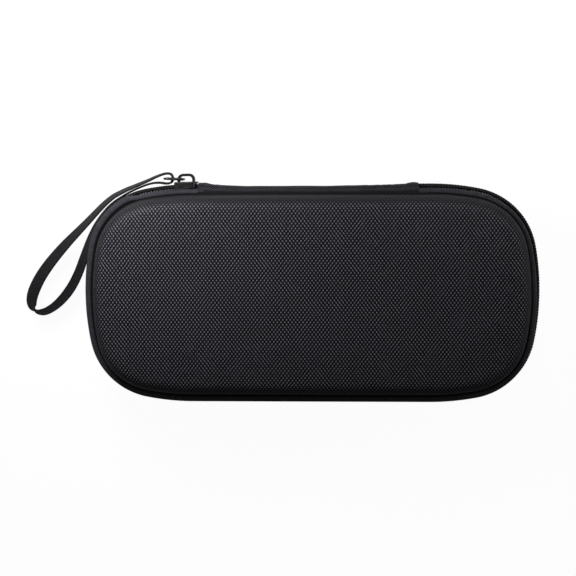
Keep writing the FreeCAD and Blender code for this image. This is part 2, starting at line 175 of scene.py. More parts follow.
# %% [markdown]
# From a grid of points to a mesh
#
# Nearly every piece here is a surface with two parameters, sampled on a grid: one along the piece
# and one round its section. A helper turns such a grid into a closed mesh. It can close the grid
# in either direction, cap its ends, lay a UV map on it in metres, and it measures the enclosed
# volume: if that comes out negative, the faces look inward, and all of them are turned round.

# %% Mesh helpers
weld_distance = 0.001 * MM
sharp_edge = math.radians(50.0)


def grid_corners(rows, columns, round_rows, round_columns):
    """The four (row, column) corners of each cell, counting on past the last where the grid closes."""
    row = np.arange(rows if round_rows else rows - 1)
    column = np.arange(columns if round_columns else columns - 1)
    cell = np.stack(np.meshgrid(row, column, indexing="ij"), -1).reshape(-1, 1, 2)
    return cell + np.array([[0, 0], [1, 0], [1, 1], [0, 1]])


def enclosed_volume(points, faces):
    """Sum of the tetrahedra from the middle of the points to each triangle of each face's fan."""
    centred = points - points.mean(0)
    total = 0.0
    for block in faces:
        first = centred[block[:, 0]]
        for i in range(1, block.shape[1] - 1):
            area_vector = np.cross(centred[block[:, i]], centred[block[:, i + 1]])
            total += np.einsum("ij,ij->", first, area_vector)
    return total / 6


def surface(name, points, uv=None, round_rows=False, round_columns=False, caps=False, weld=False,
            finishes=(), column_finish=None):
    """A mesh from a grid of points with the shape (rows, columns, 3).

    Rows and columns close on themselves where round_rows or round_columns says so. Caps close the
    first and the last row with one face each, and weld joins points that coincide. The uv grid
    goes one step further than the points wherever the grid closes. column_finish gives the number
    of the finish for each column.
    """
    rows, columns = points.shape[:2]
    corners = grid_corners(rows, columns, round_rows, round_columns)
    faces = [(corners[..., 0] % rows) * columns + corners[..., 1] % columns]
    if uv is None:
        uv = np.zeros((rows + 1, columns + 1, 2))
    maps = [uv[corners[..., 0], corners[..., 1]]]
    paint = [np.zeros(len(corners), int) if column_finish is None else column_finish[corners[:, 0, 1]]]
    if caps:
        order = np.arange(columns)
        for cap, edge in ((order, 0), (order[::-1], rows - 1)):
            faces.append((edge * columns + cap)[None])
            maps.append(uv[edge, cap][None])
            paint.append(np.zeros(1, int))
    flat = points.reshape(-1, 3)
    if enclosed_volume(flat, faces) < 0:
        faces = [block[:, ::-1] for block in faces]
        maps = [block[:, ::-1] for block in maps]
    sizes = np.concatenate([np.full(len(block), block.shape[1]) for block in faces])
    first_corners = np.concatenate([[0], np.cumsum(sizes)[:-1]])
    point_numbers = np.concatenate([block.ravel() for block in faces])
    map_points = np.concatenate([block.reshape(-1, 2) for block in maps])
    mesh = bpy.data.meshes.new(name)
    mesh.vertices.add(len(flat))
    mesh.vertices.foreach_set("co", flat.astype(np.float32).ravel())
    mesh.loops.add(len(point_numbers))
    mesh.loops.foreach_set("vertex_index", point_numbers.astype(np.int32))
    mesh.polygons.add(len(sizes))
    mesh.polygons.foreach_set("loop_start", first_corners.astype(np.int32))
    mesh.polygons.foreach_set("material_index", np.concatenate(paint).astype(np.int32))
    layer = mesh.uv_layers.new(name="cloth")
    layer.data.foreach_set("uv", map_points.astype(np.float32).ravel())
    mesh.update(calc_edges=True)
    if weld:
        work = bmesh.new()
        work.from_mesh(mesh)
        bmesh.ops.remove_doubles(work, verts=work.verts, dist=weld_distance)
        work.to_mesh(mesh)
        work.free()
    mesh.polygons.foreach_set("use_smooth", np.ones(len(mesh.polygons), bool))
    mesh.set_sharp_from_angle(angle=sharp_edge)
    for finish in finishes:
        mesh.materials.append(finish)
    piece = bpy.data.objects.new(name, mesh)
    bpy.context.scene.collection.objects.link(piece)
    print(name, len(mesh.vertices), "points", len(mesh.polygons), "faces")
    return piece


def smooth_through(points, steps):
    """A curve through the points, with this many steps between two of them. Each stretch is the
    cubic whose slope at a point is half the step from the point before to the point after."""
    points = np.asarray(points, float)
    padded = np.vstack([2 * points[0] - points[1], points, 2 * points[-1] - points[-2]])
    share = np.linspace(0, 1, steps, endpoint=False)[:, None]
    before, start, end, after = (padded[i : i + len(points) - 1, None] for i in range(4))
    linear = end - before
    square = 2 * before - 5 * start + 4 * end - after
    cube = 3 * (start - end) + after - before
    curve = start + 0.5 * share * (linear + share * (square + share * cube))
    return np.vstack([curve.reshape(-1, points.shape[1]), points[-1:]])


def band(line, thickness):
    """The closed outline of a strip: the line moved to one side, then back along the other."""
    ahead = np.gradient(line, axis=0)
    ahead /= np.linalg.norm(ahead, axis=1)[:, None]
    side = np.stack([-ahead[:, 1], ahead[:, 0]], -1) * thickness / 2
    return np.vstack([line + side, (line - side)[::-1]])


def run_lengths(line):
    """Distance along a line at each of its points."""
    return np.concatenate([[0.0], np.cumsum(np.linalg.norm(np.diff(line, axis=0), axis=1))])


def carried(section, distances, side):
    """A section of (inset, height) points at each distance along the rim. A point is the rim's point
    moved inward by the inset, at the closing plane plus side times the height. The section may be
    one for all distances, or one for each."""
    place, outward = rim.at(distances)
    each = np.broadcast_to(section, (len(distances),) + section.shape[-2:])
    flat = place[:, None] - outward[:, None] * each[..., :1]
    return np.concatenate([flat, middle + side * each[..., 1:]], -1)


def rim_strip(name, section, distances, side, **options):
    """A closed section carried along the rim, with its ends capped, and a UV map of distances."""
    first = section.reshape(-1, *section.shape[-2:])[0]
    around = run_lengths(np.vstack([first, first[:1]]))
    uv = np.stack(np.meshgrid(distances, around, indexing="ij"), -1)
    points = carried(section, distances, side)
    return surface(name, points, uv, round_columns=True, caps=True, **options)


def dress(piece, body, slot, *nodes):
    """Puts a piece on its body, in place of the plain solids that it stands for."""
    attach(piece, body)
    if nodes:
        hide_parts(*nodes)
    return piece


print("mesh helpers ready")

# %% [markdown]
# Shader arithmetic
#
# A finish is a small formula. Written with nodes it is a web of Math nodes, and written with the
# class below it reads as the formula does: `1 - mask * 0.4`. Every operator adds one Math node.
# Any other node comes from the one method `node`, which sets its options before its inputs.

# %% Shader arithmetic
class Value:
    """An output of a node that can be used in Python arithmetic."""

    def __init__(self, finish, socket):
        self.finish = finish
        self.socket = socket

    def math(self, operation, *terms):
        """A Math node with these terms as its inputs."""
        inputs = dict(enumerate(terms))
        return self.finish.node("ShaderNodeMath", {"operation": operation}, inputs)

    def __add__(self, other):
        return self.math("ADD", self, other)

    def __sub__(self, other):
        return self.math("SUBTRACT", self, other)

    def __rsub__(self, other):
        return self.math("SUBTRACT", other, self)

    def __mul__(self, other):
        return self.math("MULTIPLY", self, other)

    def __truediv__(self, other):
        return self.math("DIVIDE", self, other)

    def __abs__(self):
        return self.math("ABSOLUTE", self)

    __radd__ = __add__
    __rmul__ = __mul__

    def wave(self):
        """The cosine of a full turn for each unit: 1 at whole numbers, -1 half way between."""
        return self.math("COSINE", self * (2 * math.pi))

    def ramp(self, low, high):
        """0 below low, 1 above high, and a smooth step between."""
        options = {"interpolation_type": "SMOOTHSTEP"}
        inputs = {0: self, 1: low, 2: high, 3: 0.0, 4: 1.0}
        return self.finish.node("ShaderNodeMapRange", options, inputs)


class Finish:
    """A material under construction, with one shader."""

    def __init__(self, name, **constants):
        self.material = bpy.data.materials.new(name)
        self.material.use_nodes = True
        self.tree = self.material.node_tree
        self.shader = self.tree.nodes["Principled BSDF"]
        for key, value in constants.items():
            self.shader.inputs[key.replace("_", " ")].default_value = value

    def node(self, kind, options=None, inputs=None, output=0):
        """Adds a node, sets its options, then links or sets its inputs, and returns one output."""
        made = self.tree.nodes.new(kind)
        for key, value in (options or {}).items():
            setattr(made, key, value)
        for key, value in (inputs or {}).items():
            if isinstance(value, Value):
                self.tree.links.new(value.socket, made.inputs[key])
            else:
                made.inputs[key].default_value = value
        return Value(self, made.outputs[output])

    def cloth_map(self):
        """The two coordinates of the piece's own UV map, in metres."""
        flat = self.node("ShaderNodeUVMap", {"uv_map": "cloth"})
        return [self.node("ShaderNodeSeparateXYZ", None, {0: flat}, i) for i in (0, 1)]

    def spot(self):
        """The object coordinates as one vector, in metres."""
        return self.node("ShaderNodeTexCoord", None, None, "Object")

    def place(self):
        """The three object coordinates, in metres."""
        spot = self.spot()
        return [self.node("ShaderNodeSeparateXYZ", None, {0: spot}, i) for i in (0, 1, 2)]

    def vector(self, x, y, z=0.0):
        """Three values as one vector."""
        return self.node("ShaderNodeCombineXYZ", None, {0: x, 1: y, 2: z})

    def noise(self, spot, scale, detail=2.0, roughness=0.5):
        """Cloudy values about 0.5, with this many clouds to the metre."""
        inputs = {"Vector": spot, "Scale": scale, "Detail": detail, "Roughness": roughness}
        return self.node("ShaderNodeTexNoise", None, inputs)

    def mix(self, share, first, second):
        """A colour between two colours. The node's colour sockets are numbers 6 and 7, and its
        colour result is number 2."""
        return self.node("ShaderNodeMix", {"data_type": "RGBA"}, {0: share, 6: first, 7: second}, 2)

    def feed(self, **sockets):
        """Links values to the shader's sockets."""
        for key, value in sockets.items():
            self.tree.links.new(value.socket, self.shader.inputs[key.replace("_", " ")])

    def bump(self, height):
        """A height in metres becomes the shading normal."""
        inputs = {"Strength": 1.0, "Distance": 1.0, "Height": height}
        self.feed(Normal=self.node("ShaderNodeBump", None, inputs))


def grey(level, blue=0.0):
    """A dark neutral colour, with a little more blue if asked."""
    return (level, level, level * (1 + blue), 1.0)


print("shader helpers ready")

# %% [markdown]
# The cover: a coarse woven nylon
#
# The shells wear a heavy plain weave. Seen from a step away, only the tops of the yarns catch the
# light, and the crossings between them are black. So the cloth reads as rows of pale dots, each
# row shifted by half a dot. Two slanted cosine waves that cross make exactly this lattice: their
# mean is highest at the dots and lowest at the gaps. Letting a slow noise favour one wave or the
# other joins the dots into faint slanting streaks, as on the real cloth. Over the edges and down
# the walls the hot mould has pressed the yarns flat, so the dots fade there. At the foot of the
# wall, where the cloth dives into the groove beside the zip tape, painted shade makes it almost
# black.

# %% Woven cover finish
weave_pitch = 2.05 * MM
weave_row = 1.38 * MM
pressed_to, raised_from = 19.4 * MM, 21.5 * MM
# Heights of the painted shade at the foot of the wall: darkest below the first, gone above the second.
groove_to, shade_gone_above = 9.5 * MM, 13.0 * MM


def crossed_waves(u, v, lean):
    """Lattice of dots: the mean of two slanted waves, with a share lean given to one of them."""
    first = (u + v).wave()
    second = (u - v).wave()
    return first * lean + second * (1 - lean)


def woven_cover():
    """Black to pale by a share: the dots, drawn toward an even 0.03 where the yarns are pressed
    flat, times a little noise for single fibres and for larger patches, times a painted shade
    that turns the foot of the wall almost black. Heights are measured from the closing plane, so
    that both shells get the same."""
    finish = Finish("woven_nylon_cover", Specular_IOR_Level=0.25)
    u, v = finish.cloth_map()
    spot = finish.vector(u, v)
    _, _, z = finish.place()
    height = abs(z - middle)
    pressed = 1 - height.ramp(pressed_to, raised_from)
    drift = finish.noise(spot, 90.0, 3.0)
    column = u / weave_pitch + (finish.noise(spot, 160.0) - 0.5) * 0.16
    row = v / (2 * weave_row) + (finish.noise(finish.vector(v, u), 160.0) - 0.5) * 0.12
    lattice = crossed_waves(column, row, 0.5 + (drift - 0.5) * 0.9)
    fibre = finish.noise(finish.vector(u * 0.35, v), 9000.0, 2.0)
    dots = lattice.ramp(0.0, 0.92)
    top = dots + (0.03 - dots) * pressed * 0.76
    patch = finish.noise(spot, 35.0, 2.0)
    # Painted shade: the cloth is painted almost black at the foot of the wall, where it dives into the
    # groove.
    groove = 0.05 + height.ramp(groove_to, shade_gone_above) * 0.95
    shade = top * (0.75 + fibre * 0.5) * (0.82 + patch * 0.36) * groove
    finish.feed(Base_Color=finish.mix(shade, grey(0.0015, 0.7), grey(0.222, 0.22)))
    finish.feed(Roughness=0.66 - top * 0.14)
    finish.bump(top * (0.16 * MM) + fibre * (0.02 * MM))
    return finish.material


cover_finish = woven_cover()
print("cover:", weave_pitch / MM, "mm across,", weave_row / MM, "mm between rows")

# %% [markdown]
# The lining: brushed knit
#
# Inside, the foam is lined with a soft brushed knit. It has no visible thread, only a fine nap
# that scatters light, so a fine noise for the bump and a soft sheen are enough.

# %% Lining finish
def brushed_lining():
    finish = Finish("brushed_lining", Roughness=0.9, Sheen_Weight=0.35, Sheen_Roughness=0.5)
    spot = finish.spot()
    nap = finish.noise(spot, 2600.0, 3.0)
    cloud = finish.noise(spot, 60.0, 2.0)
    finish.feed(Base_Color=finish.mix(nap * 0.5 + cloud * 0.5, grey(0.018), grey(0.05)))
    finish.bump(nap * (0.06 * MM))
    return finish.material


lining_finish = brushed_lining()
print("lining ready")

# %% [markdown]
# The two shells
#
# Each shell is pressed from foam board with its cloth already glued on. Its section is a drafted
# wall, a fillet and a face that bulges very slightly. The same section line is walked from the
# middle of the outer face, over the rim, to the middle of the lining, and it is carried round the
# whole rim. The flat middle closes onto a short line, where the rows from both long sides meet.
# The UV map lays the cloth out flat from the middle outward, so the weave runs on over the edge.

# %% Shells
shell_step = 1.4 * MM
edge_round = 0.25 * MM
middle_rows = 8


def arc(centre, radius, first, last, count):
    """Points of an arc between two angles: centre + radius * (cos, sin)."""
    angle = np.linspace(first, last, count)
    return centre + radius * np.stack([np.cos(angle), np.sin(angle)], -1)


def shell_line(below):
    """The shell's section at a depth under its outer face, from the seam up to the flat middle.

    The fillet's centre lies one fillet radius inside the wall, and where its distance from the
    dome's centre is the dome's radius less the fillet's, so that both arcs touch.
    """
    rise = np.array([math.sin(draft), math.cos(draft)])
    inward = np.array([math.cos(draft), -math.sin(draft)])
    foot = np.array([seam_inset, seam_height])
    dome_centre = np.array([plateau_inset, middle - dome_radius])
    start = foot + inward * face_fillet - dome_centre
    along = start @ rise
    reach = -along + math.sqrt(along**2 - start @ start + (dome_radius - face_fillet) ** 2)
    fillet_centre = foot + rise * reach + inward * face_fillet
    toward = fillet_centre - dome_centre
    lean = math.atan2(toward[1], toward[0])
    bottom = foot + np.array([below / math.cos(draft), 0])
    wall_top = fillet_centre - inward * (face_fillet - below)
    straight = bottom + (wall_top - bottom) * np.linspace(0, 1, 6)[:-1, None]
    fillet = arc(fillet_centre, face_fillet - below, math.pi - draft, lean, 14)
    dome = arc(dome_centre, dome_radius - below, lean, math.pi / 2, 12)[1:]
    return np.vstack([straight, fillet, dome])


def closed_middle(ring, rows):
    """Rows from a ring of points to the line along its middle: each point keeps its x until the
    line's end, and its y shrinks to nothing."""
    half_line = half_length - half_width
    target = np.stack([np.clip(ring[:, 0], -half_line, half_line), 0 * ring[:, 1], ring[:, 2]], -1)
    share = np.linspace(0, 1, rows + 1)[1:, None, None]
    return ring + (target - ring) * share


def shell_piece(name, side):
    """A whole shell: flat middle, outer face, rounded edge, lining and the lining's flat middle."""
    distances = rim.samples(shell_step)
    outer = shell_line(0.0)
    inner = shell_line(wall)
    corner_out = outer[0] + [edge_round, -edge_round]
    corner_in = inner[0] + [-edge_round, -edge_round]
    rim_edge = smooth_through([outer[0], corner_out, corner_in, inner[0]], 2)
    section = np.vstack([outer[::-1], rim_edge[1:-1], inner])
    rings = carried(section, distances, side)
    unrolled = plateau_inset - run_lengths(section)
    laid = carried(np.stack([unrolled, 0 * unrolled], -1), distances, side)[..., :2]
    front = closed_middle(rings[:, 0], middle_rows)[::-1].transpose(1, 0, 2)
    back = closed_middle(rings[:, -1], middle_rows).transpose(1, 0, 2)
    points = np.concatenate([front, rings, back], 1)
    flat = np.concatenate([front[..., :2], laid, back[..., :2]], 1)
    flat = np.concatenate([flat, flat[:1]], 0)
    lined = np.arange(points.shape[1]) >= middle_rows + len(outer) + 1
    return surface(name, points, flat, round_rows=True, weld=True,
                   finishes=(cover_finish, lining_finish), column_finish=lined.astype(int))


dress(shell_piece("front_shell_cover", 1), "lid", "shell_fabric", "front_shell")
dress(shell_piece("rear_shell_cover", -1), "tray", "shell_fabric", "rear_shell")

# %% [markdown]
# Zip tape
#
# The tape is a woven ribbon. It stands behind the coil, rolls out over it at the top like a
# piping, dips into the groove at the foot of the shell, and ends under the shell, where it is
# sewn. Where the slider has to pass it stays upright. Its weave shows as fine ribs across it.

# %% Zip tape
# Lengths over the tape from its foot between which its colour turns black as painted shade.
tape_groove = 6.7 * MM, 7.3 * MM


def tape_finish():
    """Ribs across the tape, a fine twill and some wear. Past the lengths above, measured over the tape
    from its foot, it lies in the gap under the shell, and there it is painted black as shade."""
    finish = Finish("woven_zip_tape", Roughness=0.7, Specular_IOR_Level=0.2)
    along, across = finish.cloth_map()
    spot = finish.vector(along, across)
    rib = (along / (0.9 * MM)).wave() * 0.5 + 0.5
    twill = ((along + across * 1.5) / (0.62 * MM)).wave() * 0.5 + 0.5
    wear = finish.noise(spot, 300.0, 3.0)
    thread = rib * 0.35 + twill * 0.4 + wear * 0.5
    # Painted shade: the part of the tape down in the groove is painted black.
    groove = across.ramp(*tape_groove)
    shade = thread.ramp(0.1, 1.1) * (1 - groove)
    finish.feed(Base_Color=finish.mix(shade, grey(0.003, 0.3), grey(0.08, 0.22)))
    finish.bump(rib * (0.05 * MM) + twill * (0.03 * MM))
    return finish.material


tape_cloth = tape_finish()
tape_thickness = 0.6 * MM
# Inset and height in millimetres, from the foot behind the coil to the edge sewn under the shell.
tape_upright = np.array([
    (2.7, 1.5), (2.7, 3.6), (2.8, 4.6), (3.1, 5.5), (3.9, 6.45), (4.8, 6.55), (5.6, 6.35),
    (6.6, 7.1), (9.1, 7.65),
])
tape_rolled = np.array([
    (2.7, 1.5), (2.7, 3.8), (2.0, 4.7), (0.9, 5.1), (1.3, 6.35), (3.2, 6.85), (5.1, 6.3),
    (6.6, 7.1), (9.1, 7.65),
])
# Distances from the zip's start, and then back from its end, over which the roll comes and goes.
roll_begins = 36 * MM, 48 * MM
roll_fades = 190 * MM, 60 * MM
roll_ends = 16 * MM, 5 * MM
roll_fade_share = 0.85
zip_steps = np.linspace(zip_start, zip_end, 520)


def smoothstep(value, low, high):
    """0 below low, 1 above high: 3 t squared less 2 t cubed between."""
    share = np.clip((value - low) / (high - low), 0, 1)
    return share * share * (3 - 2 * share)


def tape_sections():
    """Upright where the slider runs, rolled out round the left end and the long side, and turning
    upright again round the right end to meet the spine."""
    upright = band(smooth_through(tape_upright * MM, 5), tape_thickness)
    rolled = band(smooth_through(tape_rolled * MM, 5), tape_thickness)
    share = smoothstep(zip_steps, zip_start + roll_begins[0], zip_start + roll_begins[1])
    fade = smoothstep(zip_steps, zip_end - roll_fades[0], zip_end - roll_fades[1])
    share *= 1 - roll_fade_share * fade
    share *= 1 - smoothstep(zip_steps, zip_end - roll_ends[0], zip_end - roll_ends[1])
    return upright + (rolled - upright) * share[:, None, None]


tape_section = tape_sections()
for name, side, body in (("front_zip_tape", 1, "lid"), ("rear_zip_tape", -1, "tray")):
    tape = rim_strip(f"{name}_cloth", tape_section, zip_steps, side, finishes=(tape_cloth,))
    dress(tape, body, "zip_tape", name)

# %% [markdown]
# The coil
#
# The teeth of this zip are one nylon wire for each side, wound into a flattened coil and sewn to
# the tape. The wire's middle is a point that goes round an oval while it moves along the rim, and
# the wire itself is a circle carried along that path. The heads of the two coils reach a little
# past the closing plane, shifted by half a turn, so that they mesh as real ones do.

# %% Coil wire
coil_pitch = 1.67 * MM
coil_turns = int((zip_end - zip_start) / coil_pitch)
wire_radius = 0.5 * MM
chain_thickness = 2.6 * MM
chain_height = 3.9 * MM
head_overlap = 0.45 * MM
loop_power = 0.7


def swept(path, side_one, side_two, radius, sides):
    """A round wire about a path: path + radius * (cos * side_one + sin * side_two)."""
    angle = np.linspace(0, 2 * math.pi, sides, endpoint=False)[None, :, None]
    outward = np.cos(angle) * side_one[:, None] + np.sin(angle) * side_two[:, None]
    return path[:, None] + radius * outward


def along_frames(path):
    """Two directions square to a path that never runs straight up: level and steep."""
    ahead = np.gradient(path, axis=0)
    ahead /= np.linalg.norm(ahead, axis=1)[:, None]
    level = np.cross(ahead, [0.0, 0.0, 1.0])
    level /= np.linalg.norm(level, axis=1)[:, None]
    return level, np.cross(level, ahead)


def coil_piece(name, side, shift):
    """One half of the chain, shifted by a share of a turn.

    The wire's inset follows the cosine of its angle, and its height the sine raised to loop_power,
    which makes each loop fuller. It moves on along the rim mostly at the head and at the back, and
    hardly on the two legs between: distance = pitch * (turn - sin(2 angle) / 4 pi).
    """
    steps = 18
    turn = np.arange(coil_turns * steps + 1) / steps
    angle = 2 * math.pi * turn
    centre_inset = chain_thickness / 2
    low, high = -head_overlap + wire_radius, chain_height - wire_radius
    inset = centre_inset + (centre_inset - wire_radius) * np.cos(angle)
    swing = np.sign(np.sin(angle)) * np.abs(np.sin(angle)) ** loop_power
    height = (low + high) / 2 + (high - low) / 2 * swing
    distance = zip_start + coil_pitch * (turn - np.sin(2 * angle) / (4 * math.pi) + shift)
    place, outward = rim.at(distance)
    path = np.concatenate([place - outward * inset[:, None], (middle + side * height)[:, None]], 1)
    ahead = np.gradient(path, axis=0)
    ahead /= np.linalg.norm(ahead, axis=1)[:, None]
    track = np.stack([-outward[:, 1], outward[:, 0], 0 * inset], -1)
    first = np.cross(ahead, track)
    first /= np.linalg.norm(first, axis=1)[:, None]
    points = swept(path, first, np.cross(first, ahead), wire_radius, 6)
    return surface(name, points, round_columns=True, caps=True, finishes=(coil_finish,))


def nylon_finish():
    finish = Finish("coil_nylon", Specular_IOR_Level=0.3)
    spot = finish.spot()
    rub = finish.noise(spot, 400.0, 3.0)
    finish.feed(Base_Color=finish.mix(rub, grey(0.005), grey(0.016)), Roughness=0.42 + rub * 0.2)
    return finish.material


coil_finish = nylon_finish()
dress(coil_piece("front_zip_coil_wire", 1, 0.0), "lid", "zip_coil", "front_zip_coil")
dress(coil_piece("rear_zip_coil_wire", -1, 0.5), "tray", "zip_coil", "rear_zip_coil")

# %% [markdown]
# Cord and stitches of the coil
#
# A filler cord lies inside the coil, and two rows of thread hold each turn down to the tape. From
# a step away the thread shows as a row of small dots beside the coil. A tube whose radius swells
# once in each turn gives that row of beads, and one of even radius gives the cord.

# %% Filler cord and stitch rows
def thread_finish():
    finish = Finish("sewing_thread", Roughness=0.7, Specular_IOR_Level=0.2)
    spot = finish.spot()
    ply = finish.noise(spot, 1500.0, 2.0)
    finish.feed(Base_Color=finish.mix(ply, grey(0.006), grey(0.024)))
    return finish.material


thread_look = thread_finish()


# Name, inset, height, least and greatest radius in millimetres, shift in turns, and finish.
bead_rows = (
    ("filler_cord", 1.15, 1.9, 0.98, 0.98, 0.0, coil_finish),
    ("stitches_top", 1.35, 4.0, 0.08, 0.28, 0.25, thread_look),
    ("stitches_face", 0.16, 2.5, 0.06, 0.2, 0.25, coil_finish),
)


def bead_row(name, side, inset, height, thin, thick, shift, look):
    """A tube along the rim whose radius swings between thin and thick once in each turn."""
    steps = 8
    turn = np.arange(coil_turns * steps + 1) / steps
    distance = zip_start + coil_pitch * (turn + shift)
    place, outward = rim.at(distance)
    level_line = np.full((len(turn), 1), middle + side * height)
    path = np.concatenate([place - outward * inset, level_line], 1)
    radius = thin + (thick - thin) * (0.5 - 0.5 * np.cos(2 * math.pi * turn))
    level, steep = along_frames(path)
    points = swept(path, level, steep, radius[:, None, None], 6)
    return surface(name, points, round_columns=True, caps=True, finishes=(look,))


for side, body, which in ((1, "lid", "front"), (-1, "tray", "rear")):
    for name, inset, height, thin, thick, shift, look in bead_rows:
        lengths = (inset * MM, height * MM, thin * MM, thick * MM)
        dress(bead_row(f"{which}_zip_{name}", side, *lengths, shift, look), body, "zip_coil")

# %% [markdown]
# Spine
#
# On the fourth side a strip of cloth hinges the shells. Its two ends swell over the zip's ends,
# and between them it is drawn in. The outer surface has one parameter along the case and one down
# from the front shell to the rear one. Long shallow folds run along the middle of it, and short
# slanting wrinkles lie at its ends. Its thickness is added underneath.

# %% Spine cover
spine_thickness = 0.8 * MM
spine_bulge = 0.55 * MM
spine_neck = 0.4 * MM
spine_hollow = 1.4 * MM
spine_end_zone = 4.0 * MM
spine_step = 4.0 * MM
spine_left_ramp = 18.0 * MM
spine_right_ramp = 42.0 * MM
spine_foot_height = 8.2 * MM
spine_foot_inset = 5.1 * MM
spine_shoulder = 3.2 * MM
# Measured down over the cloth from the front shell: the painted shade at the two feet and along one
# crease.
spine_front_foot_shade = 0.4 * MM, 2.0 * MM
spine_rear_foot_shade = 16.8 * MM, 18.4 * MM
spine_crease_shade = 15.4 * MM


def spine_finish():
    """A slanting twill, broken up by noise, with painted shade: black at both feet and dark along one
    line where the cloth is creased.
    """
    finish = Finish("spine_twill", Roughness=0.7, Specular_IOR_Level=0.25)
    along, down = finish.cloth_map()
    spot = finish.vector(along, down)
    twill = ((along * 0.8 + down) / (1.25 * MM)).wave() * 0.5 + 0.5
    break_up = finish.noise(spot, 700.0, 2.0)
    cloud = finish.noise(spot, 90.0, 2.0)
    # Painted shade: black at both feet, and a dark line along one crease where shade would fall.
    feet = down.ramp(*spine_front_foot_shade) * (1 - down.ramp(*spine_rear_foot_shade))
    crease_shade = 1 - abs(down - spine_crease_shade).ramp(0.1 * MM, 0.9 * MM)
    thread = (twill * 0.8 + break_up * 0.6).ramp(0.45, 1.1)
    shade = thread * (0.5 + cloud) * feet * (1 - crease_shade * cloud * 1.1)
    finish.feed(Base_Color=finish.mix(shade, grey(0.002, 0.5), grey(0.06, 0.28)))
    finish.bump(twill * (0.16 * MM) + break_up * (0.12 * MM))
    return finish.material


def spine_crest(x):
    """Inset of the spine's crest along the case: over the chain's ends, then a step, then drawn in.
    Straight lines between stations, softened by a running mean over 3 mm."""
    left = spine_low.x + spine_end_zone
    right = spine_high.x - spine_end_zone
    stops = [left, left + spine_step, left + spine_step + spine_left_ramp,
             right - spine_step - spine_right_ramp, right - spine_step, right]
    insets = [-spine_bulge, spine_neck, spine_hollow, spine_hollow, spine_neck, -spine_bulge]
    shifts = np.linspace(-1.5 * MM, 1.5 * MM, 9)
    return np.interp(x[:, None] + shifts, stops, insets).mean(1)


def spine_piece():
    """The cloth's outer surface is inset from the rim by the crest in the middle and by the foot's
    inset at both feet, with a smooth step between. Folds, wrinkles and dents are sine waves in x
    and in the height, in radians to the metre, and fade out at the feet."""
    x = np.linspace(spine_low.x, spine_high.x, 420)
    crest = spine_crest(x)
    drawn_in = smoothstep(crest, spine_neck, spine_hollow)
    down = np.linspace(-1, 1, 81)
    height = spine_foot_height * np.sign(down) * np.abs(down) ** 0.85
    slope = smoothstep(np.abs(height), spine_shoulder, spine_foot_height)
    inset = crest[:, None] + (spine_foot_inset - crest[:, None]) * slope[None] ** 1.15
    wander = np.sin(x * 45) + 0.6 * np.sin(x * 118 + 1.3)
    fold = np.sin(height[None] * 2100 + wander[:, None] * 0.7) * (0.06 + 0.16 * drawn_in[:, None]) * MM
    wrinkle = np.sin(x[:, None] * 900 + height[None] * 1100) * (1 - drawn_in[:, None]) * 0.14 * MM
    dent = np.sin(x[:, None] * 160 + 2.1) * np.sin(height[None] * 500 + x[:, None] * 60) * 0.12 * MM
    inset = inset + (fold + wrinkle + dent) * (1 - slope[None] ** 4)
    outer = np.stack(np.broadcast_arrays(x[:, None], half_width - inset, middle + height[None]), -1)
    inner = outer - [0, spine_thickness, 0]
    points = np.concatenate([outer, inner[:, ::-1]], 1)
    halfway = points[len(points) // 2]
    around = run_lengths(np.vstack([halfway, halfway[:1]]))
    uv = np.stack(np.meshgrid(x, around, indexing="ij"), -1)
    finishes = (spine_finish(),)
    return surface("spine_cover_cloth", points, uv, round_columns=True, caps=True, finishes=finishes)


spine = spine_piece()
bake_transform(spine)
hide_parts("spine_cover")

# %% [markdown]
# Slider, bridge and ring
#
# These are die-cast and bent metal with a black lacquer. The solid model has their true shape, so
# they keep it and only get the finish: almost black, fairly glossy, with a thin clear coat, and
# worn a little lighter in scattered patches.

# %% Lacquered metal
def lacquer_finish():
    finish = Finish("black_lacquer", Metallic=0.3, Coat_Weight=0.35, Coat_Roughness=0.2)
    spot = finish.spot()
    orange_peel = finish.noise(spot, 1800.0, 2.0)
    rub = finish.noise(spot, 500.0, 3.0)
    finish.feed(Base_Color=finish.mix(rub.ramp(0.45, 0.8), grey(0.006), grey(0.022, 0.1)))
    finish.feed(Roughness=0.3 + rub * 0.16)
    finish.bump(orange_peel * (0.006 * MM))
    return finish.material


def repaint(node, look):
    """A solid that keeps its shape gets a finish."""
    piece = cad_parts[node]
    piece.data.materials.clear()
    piece.data.materials.append(look)


lacquer = lacquer_finish()
for node in ("slider_body", "slider_bridge", "puller_ring"):
    repaint(node, lacquer)
print("lacquered slider, bridge and ring")

# %% [markdown]
# Wrist strap
#
# The strap is one length of flat webbing, threaded through the ring and sewn to itself. It leaves
# the ring standing on edge, slopes down to the table and leans over in its loop. Its middle line
# is a smooth spline whose control points follow the strap in the photograph. A rounded flat
# section is carried along it, and a lean angle that changes along the way turns the section.

# %% Strap
# Points from the ring's eye round the loop and back to it: x and y in millimetres.
strap_route = [
    (-78.9, 66.45),
    (-79.0, 68.4), (-82.6, 69.1), (-88.1, 67.2), (-93.0, 64.9), (-100.0, 62.0), (-107.8, 58.9),
    (-117.4, 53.8), (-131.9, 39.1), (-147.0, 24.6), (-159.3, 10.3), (-166.0, -1.3), (-168.0, -8.6),
    (-166.4, -13.2), (-160.8, -14.2), (-155.3, -11.9), (-148.9, -6.7), (-142.2, 1.3), (-137.1, 10.8),
    (-133.3, 20.6), (-129.5, 30.7), (-124.5, 41.0), (-116.6, 50.8), (-106.7, 57.0), (-99.4, 60.4),
    (-92.3, 63.1), (-86.8, 63.7), (-82.0, 62.9), (-79.0, 64.0),
    (-78.9, 66.44),
]
strap_width = 9.0 * MM
strap_thickness = 1.2 * MM
strap_slope = math.radians(8.8)
floor_gap = 0.3 * MM
lean_toward = np.array([0.96, -0.28, 0.0])
edge_power = 0.35
face_power = 0.5


